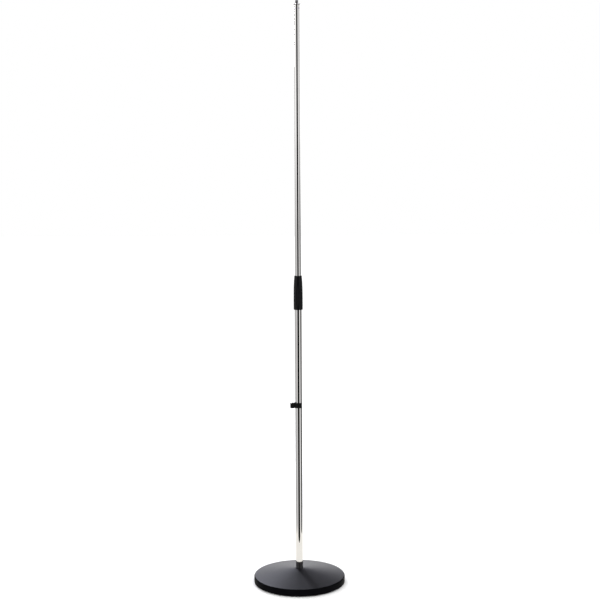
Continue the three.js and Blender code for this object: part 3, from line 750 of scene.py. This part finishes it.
# ---------------------------------------------------------------- studio
# What reflections see of the room, in stops of (degrees, brightness). 0 degrees is the camera's side of
# the room, 90 is the picture's right, and the names say how high each row of stops lies.
BELOW_HORIZON = [
    (-180, 1.7), (-165, 1.4), (-154, 0.80), (-149, 0.10), (-130, 0.10), (-124, 0.70), (-100, 0.60),
    (-84, 0.50), (-60, 0.62), (-33, 0.90), (-28, 0.001), (28, 0.001), (33, 0.95), (62, 0.95),
    (70, 0.04), (106, 0.04), (114, 0.50), (121, 0.55), (127, 0.15), (149, 0.15), (154, 0.90),
    (165, 1.4), (180, 1.7),
]
AT_HORIZON = [
    (-180, 3.0), (-166, 2.8), (-152, 1.00), (-147, 0.30), (-132, 0.30), (-127, 0.75), (-102, 0.70),
    (-88, 1.00), (-75, 1.15), (-33, 1.15), (-28, 0.001), (26, 0.001), (31, 1.05), (50, 1.00),
    (60, 0.72), (100, 0.66), (118, 0.80), (150, 1.00), (154, 1.90), (166, 2.80), (180, 3.0),
]
OVERHEAD = [
    (-180, 0.02), (-148, 0.03), (-125, 0.60), (-70, 0.90), (-42, 0.90), (-32, 0.05), (27, 0.05),
    (37, 0.90), (60, 0.90), (85, 0.30), (120, 0.50), (148, 0.03), (180, 0.02),
]
ZENITH = [(-180, 0.85), (180, 0.85)]
# One row gives way to the next between these elevations, in degrees.
AT_HORIZON_BAND = (-3.5, 1.5)
OVERHEAD_BAND = (6, 23)
ZENITH_BAND = (55, 80)
SKY_TINT = (0.955, 0.945, 1.16)
SKY_TINT_BAND = (8, 16)
# The even white that matt surfaces see.
AMBIENT = 1.15
# A reflection sees the room at full strength up to this many bounces, and weaker after them.
FULL_BOUNCES = 2.5
LATER_STRENGTH = 0.15


class World:
    """Builds the world's shader: white for the camera, soft light for surfaces, a studio for mirrors."""

    def __init__(self):
        world = bpy.data.worlds.new("studio")
        bpy.context.scene.world = world
        world.use_nodes = True
        self.tree = world.node_tree
        self.tree.nodes.clear()
        parts = self.node("ShaderNodeSeparateXYZ")
        self.link(self.node("ShaderNodeTexCoord").outputs["Generated"], parts.inputs["Vector"])
        towards_camera = self.maths("MULTIPLY", parts.outputs["Y"], -1.0)
        azimuth = self.maths("ARCTAN2", parts.outputs["X"], towards_camera)
        self.around = self.maths("ADD", self.maths("DIVIDE", azimuth, TURN), 0.5)
        self.height = parts.outputs["Z"]

    def node(self, kind):
        return self.tree.nodes.new(kind)

    def link(self, output, socket):
        self.tree.links.new(output, socket)

    def maths(self, operation, *values):
        node = self.node("ShaderNodeMath")
        node.operation = operation
        for socket, value in zip(node.inputs, values):
            if isinstance(value, (int, float)):
                socket.default_value = value
            else:
                self.link(value, socket)
        return node.outputs["Value"]

    def panorama(self, stops):
        node = self.node("ShaderNodeValToRGB")
        elements = node.color_ramp.elements
        elements.remove(elements[1])
        for i, (degrees, value) in enumerate(stops):
            stop = elements[0] if i == 0 else elements.new(degrees / 360 + 0.5)
            stop.color = (value, value, value, 1.0)
        self.link(self.around, node.inputs["Fac"])
        return node.outputs["Color"]

    def rise(self, from_degrees, to_degrees):
        """0 below one elevation, 1 above the other."""
        node = self.node("ShaderNodeMapRange")
        node.inputs["From Min"].default_value = math.sin(math.radians(from_degrees))
        node.inputs["From Max"].default_value = math.sin(math.radians(to_degrees))
        self.link(self.height, node.inputs["Value"])
        return node.outputs["Result"]

    def blend(self, lower, upper, from_degrees, to_degrees):
        mix = self.node("ShaderNodeMix")
        mix.data_type = "RGBA"
        self.link(self.rise(from_degrees, to_degrees), mix.inputs["Factor"])
        self.link(lower, mix.inputs["A"])
        self.link(upper, mix.inputs["B"])
        return mix.outputs["Result"]

    def tinted(self, color, tint, from_degrees, to_degrees):
        """The same picture, with its upper part coloured."""
        mix = self.node("ShaderNodeMix")
        mix.data_type, mix.blend_type = "RGBA", "MULTIPLY"
        mix.inputs["B"].default_value = (*tint, 1.0)
        self.link(self.rise(from_degrees, to_degrees), mix.inputs["Factor"])
        self.link(color, mix.inputs["A"])
        return mix.outputs["Result"]

    def background(self, color=None, strength=1.0):
        node = self.node("ShaderNodeBackground")
        node.inputs["Strength"].default_value = strength
        if color is None:
            node.inputs["Color"].default_value = (1, 1, 1, 1)
        else:
            self.link(color, node.inputs["Color"])
        return node.outputs["Background"]

    def mix(self, factor, first, second):
        mix = self.node("ShaderNodeMixShader")
        for socket, value in zip(mix.inputs, (factor, first, second)):
            self.link(value, socket)
        return mix.outputs["Shader"]

    def choose(self, ray, otherwise, then):
        return self.mix(self.node("ShaderNodeLightPath").outputs[ray], otherwise, then)

    def beyond(self, bounces, before, after):
        """One look for the first bounces of a ray, and another for the later ones."""
        depth = self.node("ShaderNodeLightPath").outputs["Ray Depth"]
        return self.mix(self.maths("GREATER_THAN", depth, bounces), before, after)


def light_the_room():
    world = World()
    lower = world.blend(world.panorama(BELOW_HORIZON), world.panorama(AT_HORIZON), *AT_HORIZON_BAND)
    studio = world.blend(lower, world.panorama(OVERHEAD), *OVERHEAD_BAND)
    studio = world.blend(studio, world.panorama(ZENITH), *ZENITH_BAND)
    studio = world.tinted(studio, SKY_TINT, *SKY_TINT_BAND)
    later = world.background(studio, LATER_STRENGTH)
    mirrored = world.beyond(FULL_BOUNCES, world.background(studio), later)
    seen = world.choose("Is Glossy Ray", world.background(strength=AMBIENT), mirrored)
    whole = world.choose("Is Camera Ray", seen, world.background())
    world.link(whole, world.node("ShaderNodeOutputWorld").inputs["Surface"])


light_the_room()


def stage_material(name, color, glow):
    """Matt paper. The more of its light is its own glow, the weaker the shadows on it."""
    material = bpy.data.materials.new(name)
    material.use_nodes = True
    shader = material.node_tree.nodes["Principled BSDF"]
    shader.inputs["Base Color"].default_value = (*[c * (1 - min(1, glow)) for c in color], 1)
    shader.inputs["Roughness"].default_value = 0.9
    shader.inputs["Specular IOR Level"].default_value = 0.0
    shader.inputs["Emission Color"].default_value = (*color, 1)
    shader.inputs["Emission Strength"].default_value = glow
    return material


def clear_from_below(material):
    """Lets the eye through the paper's underside, so that the stand can be seen from below."""
    tree = material.node_tree
    mix = tree.nodes.new("ShaderNodeMixShader")
    tree.links.new(tree.nodes.new("ShaderNodeNewGeometry").outputs["Backfacing"], mix.inputs[0])
    tree.links.new(tree.nodes["Principled BSDF"].outputs["BSDF"], mix.inputs[1])
    tree.links.new(tree.nodes.new("ShaderNodeBsdfTransparent").outputs["BSDF"], mix.inputs[2])
    tree.links.new(mix.outputs["Shader"], tree.nodes["Material Output"].inputs["Surface"])
    return material


# The sheet of paper under the stand: left, right, front and back edges, in metres from the rod.
SHEET = (-0.45, 0.45, -0.364, 0.60)
SHEET_Z = -0.05 * MM
SHEET_GLOW = 0.88
FLOOR_Z = -0.1 * MM
FLOOR_SIZE = 30


def floor():
    """A pale floor for the eye, and the sheet of paper under the stand that the chrome mirrors."""
    bpy.ops.mesh.primitive_plane_add(size=FLOOR_SIZE, location=(0, 0, FLOOR_Z))
    wide = bpy.context.object
    wide.name = "floor"
    wide.visible_glossy = wide.visible_diffuse = wide.visible_shadow = False
    wide.data.materials.append(clear_from_below(stage_material("floor", (0.98, 0.98, 0.98), glow=0)))
    left, right, front, back = SHEET
    bm = bmesh.new()
    corners = ((left, front), (right, front), (right, back), (left, back))
    bm.faces.new([bm.verts.new((x, y, SHEET_Z)) for x, y in corners])
    sheet = finish_mesh("sheet", bm)
    sheet.data.materials.append(stage_material("sheet", (1.0, 0.985, 0.93), SHEET_GLOW))
    sheet.visible_camera = False
    sheet.visible_diffuse = False
    sheet.visible_shadow = False


floor()


def area_light(name, azimuth, elevation, distance, size, power, color=(1, 1, 1)):
    """A softbox aimed at the base, in watts. Azimuth is in degrees from straight behind the stand
    towards the picture's right."""
    data = bpy.data.lights.new(name, "AREA")
    data.shape = "RECTANGLE"
    data.size, data.size_y = size
    data.energy = power
    data.color = color
    a, e = math.radians(azimuth), math.radians(elevation)
    lamp = bpy.data.objects.new(name, data)
    towards = Vector((math.sin(a) * math.cos(e), math.cos(a) * math.cos(e), math.sin(e)))
    lamp.location = towards * distance
    lamp.rotation_euler = (-lamp.location).to_track_quat("-Z", "Y").to_euler()
    bpy.context.scene.collection.objects.link(lamp)


area_light("key", azimuth=-23, elevation=40, distance=3.0, size=(0.34, 0.9), power=25,
           color=(0.85, 0.87, 1.0))
area_light("top", azimuth=0, elevation=80, distance=2.9, size=(1.2, 1.2), power=5)


# ---------------------------------------------------------------- camera
# Metres from the rod and from the floor, and degrees down from level and round the line of sight.
CAMERA_DISTANCE = 3.306
CAMERA_HEIGHT = 1.166
CAMERA_SIDE = 4.95 * MM
CAMERA_PITCH = 6.60
CAMERA_ROLL = 0.275
# Focal length and sensor width, in millimetres.
LENS = 74.14
SENSOR = 36


def camera():
    data = bpy.data.cameras.new("camera")
    data.lens = LENS
    data.sensor_width = SENSOR
    data.clip_start, data.clip_end = 0.05, 100
    view = bpy.data.objects.new("camera", data)
    pitch = Matrix.Rotation(math.radians(90 - CAMERA_PITCH), 4, "X")
    roll = Matrix.Rotation(math.radians(-CAMERA_ROLL), 4, "Z")
    view.matrix_world = Matrix.Translation((CAMERA_SIDE, -CAMERA_DISTANCE, CAMERA_HEIGHT)) @ pitch @ roll
    bpy.context.scene.collection.objects.link(view)
    bpy.context.scene.camera = view


camera()
bpy.context.scene.view_settings.view_transform = "Standard"
bpy.context.scene.view_settings.look = "None"
